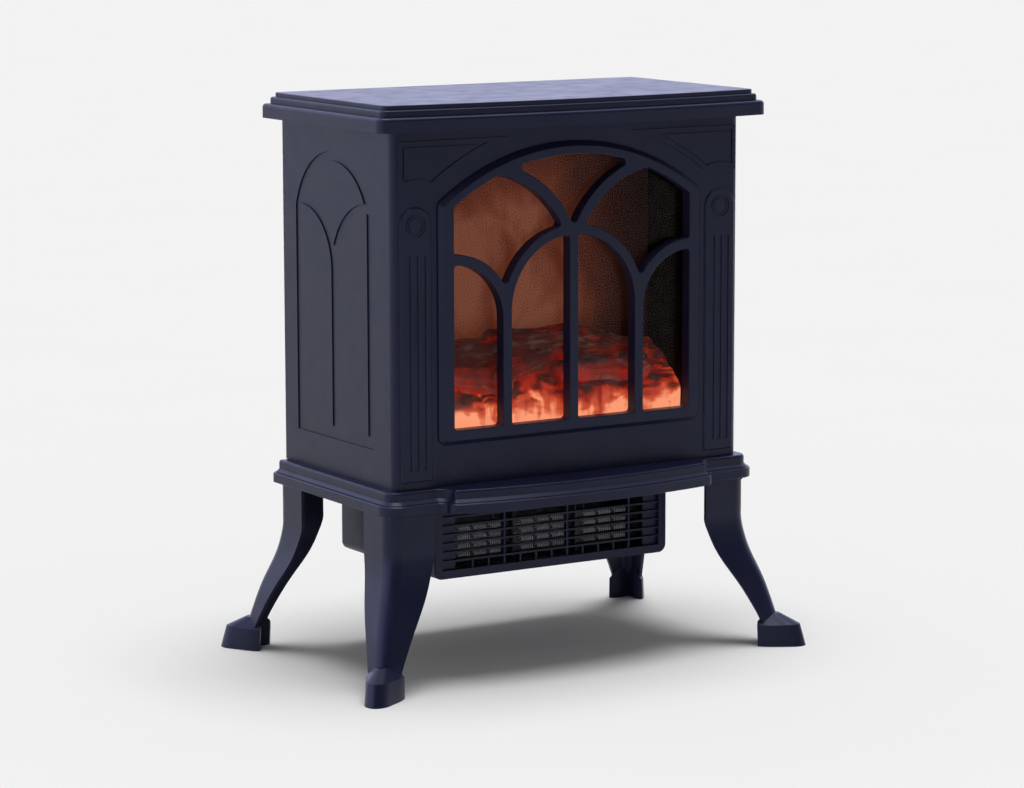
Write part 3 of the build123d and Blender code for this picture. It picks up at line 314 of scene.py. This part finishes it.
def moulded(name, dark, light, roughness, grain):
    """Moulded plastic with a fine grain."""
    s = Shader(name, Specular_IOR_Level=0.45)
    s.set("Base Color", s.ramp(s.noise(30.0, 3.0), (0.3, dark), (0.7, light)))
    s.set("Roughness", s.spread(s.noise(70.0, 3.0), 0.3, 0.7, roughness - 0.05, roughness + 0.05))
    return s.bump(s.noise(1100.0, 2.0), grain, 0.0003).material


def mica():
    """Pressed mica board: flaky, with a pearly mottle."""
    s = Shader("pressed_mica", Specular_IOR_Level=0.5)
    flakes = s.noise(130.0, 4.0, 1.5, (1.0, 1.0, 2.0))
    s.set("Base Color", s.ramp(flakes, (0.3, (0.014, 0.012, 0.010)), (0.7, (0.030, 0.026, 0.021))))
    s.set("Roughness", s.spread(flakes, 0.3, 0.7, 0.35, 0.6))
    return s.bump(flakes, 0.2, 0.0004).material


MATERIALS = {
    "enamel": enamel(),
    "black_sheet": painted_sheet("black_sheet", (0.013, 0.013, 0.015), (0.019, 0.019, 0.022), 0.46),
    "zinc_sheet": galvanised(),
    "screw_steel": bare_metal("black_oxide", (0.045, 0.045, 0.05), (0.09, 0.09, 0.095), 0.38),
    "clear_glass": clear_glass(),
    "liner_black": heat_paint(),
    "flame_screen": flame_screen(),
    "ember_resin": ember_glow("ember_resin", 0.226, 0.300, 1.0),
    "circuit_board": circuit_board(),
    "bronze": bare_metal("sintered_bronze", (0.38, 0.24, 0.12), (0.50, 0.34, 0.18), 0.42),
    "motor_steel": bare_metal("laminated_steel", (0.20, 0.20, 0.21), (0.34, 0.34, 0.35), 0.42,
                              (40.0, 1.0, 1.0), 30.0),
    "rotor_aluminium": bare_metal("cast_aluminium", (0.50, 0.51, 0.53), (0.66, 0.67, 0.69), 0.40),
    "shaft_steel": bare_metal("ground_steel", (0.44, 0.44, 0.46), (0.60, 0.60, 0.62), 0.26, (1.0, 9.0, 9.0)),
    "mirror_foil": bare_metal("bright_foil", (0.80, 0.80, 0.80), (0.90, 0.90, 0.90), 0.12),
    "mica": mica(),
    "heating_wire": wire_steel(),
    "black_plastic": moulded("black_plastic", (0.011, 0.011, 0.013), (0.016, 0.016, 0.018), 0.48, 0.2),
    "rocker_plastic": moulded("rocker_plastic", (0.009, 0.009, 0.010), (0.013, 0.013, 0.014), 0.25, 0.06),
}

for part in frame["record"]["subparts"]:
    mesh = nodes[part["node"]].data
    mesh.materials.clear()
    mesh.materials.append(MATERIALS[part["material_slot"]])


# ---------------------------------------------------------------- mesh building

def piece_from(bm, name, slot_name, body="stove"):
    """Finish a bmesh as one piece of the object that rides on a body."""
    bmesh.ops.recalc_face_normals(bm, faces=bm.faces)
    mesh = bpy.data.meshes.new(name)
    bm.to_mesh(mesh)
    bm.free()
    mesh.shade_smooth()
    piece = bpy.data.objects.new(name, mesh)
    bpy.context.scene.collection.objects.link(piece)
    mesh.materials.append(MATERIALS[slot_name])
    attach(piece, body)
    return piece


def tube(bm, rings):
    """Skin a list of equal rings of points and close both ends."""
    made = [[bm.verts.new(point) for point in ring] for ring in rings]
    count = len(made[0])
    for a, b in zip(made, made[1:]):
        for i in range(count):
            j = (i + 1) % count
            bm.faces.new((a[i], a[j], b[j], b[i]))
    for ring, mirror in ((made[0], True), (made[-1], False)):
        centre = sum((v.co for v in ring), Vector()) / count
        hub = bm.verts.new(centre)
        for i in range(count):
            j = (i + 1) % count
            bm.faces.new((ring[j], ring[i], hub) if mirror else (ring[i], ring[j], hub))


# ---------------------------------------------------------------- log bed

def bark(u, angle, seed):
    """Height of the bark at one place on a log: long ridges, knots and a fine crackle."""
    ridge = noise.noise(Vector((u * 26.0, math.cos(angle) * 2.6, math.sin(angle) * 2.6 + seed)))
    split = abs(noise.noise(Vector((u * 9.0, math.cos(angle) * 4.5 + seed, math.sin(angle) * 4.5))))
    crackle = noise.noise(Vector((u * 95.0, math.cos(angle) * 7.0, math.sin(angle) * 7.0 - seed)))
    return 0.50 * ridge - 0.75 * max(0.0, 0.24 - split) / 0.24 + 0.20 * crackle


def log_piece(name, centre, length, radius, tilt, turn, seed, bend=0.0):
    """A split log: bent, tapered, flattened at the back and covered in bark ridges."""
    along = Matrix.Rotation(math.radians(turn), 3, "Z") @ Matrix.Rotation(math.radians(-tilt), 3, "Y")
    lo, hi = bed_lo, bed_hi
    bm = bmesh.new()
    rings = []
    for ring in range(LOG_RINGS + 1):
        t = ring / LOG_RINGS
        end = min(t, 1.0 - t) * 2.0
        round_end = math.sqrt(max(0.0, 1.0 - (1.0 - min(1.0, end * 7.0)) ** 2))
        u = (t - 0.5) * length
        girth = radius * (0.30 + 0.70 * round_end) * (1.0 + 0.13 * noise.noise(Vector((u * 22.0, seed, 0.0))))
        sway = bend * math.cos(t * math.pi) + 0.003 * noise.noise(Vector((u * 14.0, 0.0, seed)))
        points = []
        for side in range(LOG_SIDES):
            angle = side * 2.0 * math.pi / LOG_SIDES
            r = girth * (1.0 + 0.34 * bark(u, angle, seed))
            local = Vector((u, r * math.cos(angle) * 0.92, r * math.sin(angle) + sway))
            place = Vector(centre) + along @ local
            place.x = min(max(place.x, lo.x), hi.x)
            place.y = min(max(place.y, lo.y), hi.y)
            place.z = min(max(place.z, lo.z), hi.z)
            points.append(place)
        rings.append(points)
    tube(bm, rings)
    return piece_from(bm, name, "ember_resin")


def bed_height(x, depth):
    """Height of the ember mat above its floor; depth runs 0 at the front to 1 at the back."""
    lump = noise.fractal(Vector((x * 30.0, depth * 2.2, 4.0)), 1.0, 2.1, 4)
    fold = abs(noise.noise(Vector((x * 11.0, depth * 0.7, 9.0))))
    return 0.032 + 0.040 * depth ** 0.8 + 0.0070 * lump - 0.007 * max(0.0, 0.18 - fold) / 0.18


def ember_mat():
    """The moulded shell under the logs: a rumpled slope with a creased front wall."""
    bm = bmesh.new()
    top = []
    for row in range(MAT_ROWS + 1):
        depth = row / MAT_ROWS
        line = []
        for column in range(MAT_COLUMNS + 1):
            x = bed_lo.x + (bed_hi.x - bed_lo.x) * column / MAT_COLUMNS
            y = bed_lo.y + (bed_hi.y - bed_lo.y) * depth
            crease = 0.004 * noise.noise(Vector((x * 24.0, 0.0, 2.0))) * (1.0 - depth)
            setback = CREASE_ROOM * (1.0 - depth)
            line.append(bm.verts.new((x, y + setback + crease, bed_lo.z + bed_height(x, depth))))
        top.append(line)
    for a, b in zip(top, top[1:]):
        for i in range(MAT_COLUMNS):
            bm.faces.new((a[i], a[i + 1], b[i + 1], b[i]))
    rim = [e for e in bm.edges if e.is_boundary]
    for step in range(SKIRT_STEPS):
        grown = bmesh.ops.extrude_edge_only(bm, edges=rim)["geom"]
        rim = [e for e in grown if isinstance(e, bmesh.types.BMEdge) and e.is_boundary]
        share = 1.0 / (SKIRT_STEPS - step)
        for v in {v for e in rim for v in e.verts}:
            v.co.z += (bed_lo.z - v.co.z) * share
            wave = 0.0011 * noise.noise(Vector((v.co.x * 60.0, v.co.z * 40.0, 7.0)))
            v.co.y = min(max(v.co.y + wave, bed_lo.y), bed_hi.y)
    bmesh.ops.contextual_create(bm, geom=rim)
    bmesh.ops.triangulate(bm, faces=[f for f in bm.faces if len(f.verts) > 4])
    return piece_from(bm, "ember_mat", "ember_resin")


bed_lo, bed_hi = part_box("ember_bed")
bed_lo = bed_lo + Vector((BED_MARGIN, BED_MARGIN, 0.0))
bed_hi = bed_hi - Vector((BED_MARGIN, BED_MARGIN, 0.0))
bed_mid_y = (bed_lo.y + bed_hi.y) / 2
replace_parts(ember_mat(), "ember_bed")

LOGS = (
    ("log_back_left", -0.080, 0.012, -0.0240, 0.112, 0.0150, 4.0, 3.0, 0.004),
    ("log_back_middle", -0.010, 0.014, -0.0170, 0.098, 0.0150, -5.0, -4.0, -0.003),
    ("log_back_right", 0.068, 0.011, -0.0250, 0.104, 0.0155, -5.0, 5.0, 0.004),
    ("log_front_left", -0.092, -0.010, -0.0440, 0.084, 0.0130, -9.0, -16.0, -0.002),
    ("log_cross", -0.030, -0.004, -0.0340, 0.104, 0.0120, 13.0, 24.0, 0.003),
    ("log_front_right", 0.052, -0.012, -0.0430, 0.100, 0.0135, 6.0, -9.0, 0.003),
    ("log_end_right", 0.108, -0.002, -0.0500, 0.052, 0.0135, -8.0, 30.0, 0.0),
)
for seed, (name, x, back, below_top, length, radius, tilt, turn, bend) in enumerate(LOGS):
    centre = (x, bed_mid_y + back, bed_hi.z + below_top)
    log_piece(name, centre, length, radius, tilt, turn, seed * 3.7 + 1.3, bend)


# ---------------------------------------------------------------- heating wire

def wire_bank(bm, lo, hi, z):
    """One length of resistance wire wound in an open flattened coil in front of its card."""
    mid_y = (lo.y + hi.y) / 2
    deep = (hi.y - lo.y) / 2 - WIRE_R
    turns = max(2, round((hi.x - lo.x) / WIRE_PITCH))
    rings = []
    for step in range(turns * WIRE_STEPS + 1):
        phase = step / WIRE_STEPS
        x = lo.x + WIRE_R + (hi.x - lo.x - 2.0 * WIRE_R) * phase / turns
        angle = phase * 2.0 * math.pi
        stray = 0.00025 * noise.noise(Vector((x * 300.0, z * 90.0, 5.0)))
        tall = (hi.z - lo.z) / 2 - WIRE_R - abs(stray)
        y = mid_y + deep * math.cos(angle)
        height = z + tall * math.sin(angle) + stray
        out = Vector((0.0, math.cos(angle), math.sin(angle)))
        side = Vector((1.0, 0.0, 0.0))
        centre = Vector((x, y, height))
        ring = []
        for corner in range(WIRE_SIDES):
            turn = corner * 2.0 * math.pi / WIRE_SIDES
            ring.append(centre + WIRE_R * (math.cos(turn) * out + math.sin(turn) * side))
        rings.append(ring)
    tube(bm, rings)


def heating_wire():
    """Every strip of the wire node becomes a coil of wire on the same card."""
    source = bmesh.new()
    source.from_mesh(nodes["heating_wire"].data)
    bmesh.ops.remove_doubles(source, verts=source.verts, dist=1e-5)
    unseen = set(source.verts)
    bm = bmesh.new()
    while unseen:
        island = {unseen.pop()}
        edge = list(island)
        while edge:
            v = edge.pop()
            for e in v.link_edges:
                other = e.other_vert(v)
                if other in unseen:
                    unseen.discard(other)
                    island.add(other)
                    edge.append(other)
        lo = Vector([min(v.co[i] for v in island) for i in range(3)])
        hi = Vector([max(v.co[i] for v in island) for i in range(3)])
        wire_bank(bm, lo, hi, (lo.z + hi.z) / 2)
    source.free()
    return piece_from(bm, "coiled_wire", "heating_wire")


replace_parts(heating_wire(), "heating_wire")


# ---------------------------------------------------------------- studio

def floor_material():
    s = Shader("pale_floor", Roughness=0.9, Specular_IOR_Level=0.0)
    s.set("Base Color", s.ramp(s.noise(3.0, 2.0), (0.3, (0.80, 0.80, 0.80)), (0.7, (0.805, 0.805, 0.805))))
    return s.material


def floor():
    bm = bmesh.new()
    bmesh.ops.create_grid(bm, x_segments=8, y_segments=8, size=FLOOR_HALF)
    mesh = bpy.data.meshes.new("floor")
    bm.to_mesh(mesh)
    bm.free()
    mesh.materials.append(floor_material())
    made = bpy.data.objects.new("floor", mesh)
    bpy.context.scene.collection.objects.link(made)


def studio_world():
    """Pale cove: mirrored bright behind and at the left, dark in front; even where the camera sees it."""
    world = bpy.data.worlds.new("studio")
    world.use_nodes = True
    tree = world.node_tree
    tree.nodes.clear()
    place = tree.nodes.new("ShaderNodeTexCoord")
    split = tree.nodes.new("ShaderNodeSeparateXYZ")
    tree.links.new(place.outputs["Generated"], split.inputs[0])
    front = tree.nodes.new("ShaderNodeMapRange")
    front.interpolation_type = "SMOOTHSTEP"
    for socket, number in (("From Min", -0.70), ("From Max", 0.55), ("To Min", 0.04), ("To Max", 1.42)):
        front.inputs[socket].default_value = number
    tree.links.new(split.outputs[1], front.inputs["Value"])
    side = tree.nodes.new("ShaderNodeMapRange")
    side.interpolation_type = "SMOOTHSTEP"
    for socket, number in (("From Min", -0.97), ("From Max", -0.60), ("To Min", 1.10), ("To Max", 0.0)):
        side.inputs[socket].default_value = number
    tree.links.new(split.outputs[0], side.inputs["Value"])
    glossy = tree.nodes.new("ShaderNodeMath")
    glossy.operation = "ADD"
    tree.links.new(front.outputs["Result"], glossy.inputs[0])
    tree.links.new(side.outputs["Result"], glossy.inputs[1])
    path = tree.nodes.new("ShaderNodeLightPath")
    mirrored = tree.nodes.new("ShaderNodeBackground")
    mirrored.inputs["Color"].default_value = (*COVE_TINT, 1.0)
    tree.links.new(glossy.outputs[0], mirrored.inputs["Strength"])
    spread = tree.nodes.new("ShaderNodeBackground")
    spread.inputs["Color"].default_value = (DIFFUSE_SKY, DIFFUSE_SKY, DIFFUSE_SKY, 1.0)
    lighting = tree.nodes.new("ShaderNodeMixShader")
    tree.links.new(path.outputs["Is Glossy Ray"], lighting.inputs[0])
    tree.links.new(spread.outputs[0], lighting.inputs[1])
    tree.links.new(mirrored.outputs[0], lighting.inputs[2])
    seen = tree.nodes.new("ShaderNodeBackground")
    seen.inputs["Color"].default_value = (BACKDROP, BACKDROP, BACKDROP, 1.0)
    choose = tree.nodes.new("ShaderNodeMixShader")
    tree.links.new(path.outputs["Is Camera Ray"], choose.inputs[0])
    tree.links.new(lighting.outputs[0], choose.inputs[1])
    tree.links.new(seen.outputs[0], choose.inputs[2])
    output = tree.nodes.new("ShaderNodeOutputWorld")
    tree.links.new(choose.outputs[0], output.inputs["Surface"])
    bpy.context.scene.world = world


def key_light():
    """One broad soft light, almost straight overhead."""
    sun = bpy.data.lights.new("key", "SUN")
    sun.energy = KEY_STRENGTH
    sun.angle = math.radians(KEY_ANGLE)
    lamp = bpy.data.objects.new("key", sun)
    lamp.rotation_euler = Vector(KEY_HEADING).to_track_quat("-Z", "Y").to_euler()
    bpy.context.scene.collection.objects.link(lamp)


def camera():
    data = bpy.data.cameras.new("camera")
    data.lens = CAMERA_LENS
    data.sensor_width = SENSOR_W
    data.clip_end = 60.0
    made = bpy.data.objects.new("camera", data)
    turn = Matrix.Rotation(math.radians(-CAMERA_YAW), 4, "Z")
    tip = Matrix.Rotation(math.radians(90.0 - CAMERA_PITCH), 4, "X")
    roll = Matrix.Rotation(math.radians(CAMERA_ROLL), 4, "Z")
    made.matrix_world = Matrix.Translation(CAMERA_AT) @ turn @ tip @ roll
    bpy.context.scene.collection.objects.link(made)
    bpy.context.scene.camera = made


floor()
studio_world()
key_light()
camera()
bpy.context.scene.view_settings.view_transform = "Standard"
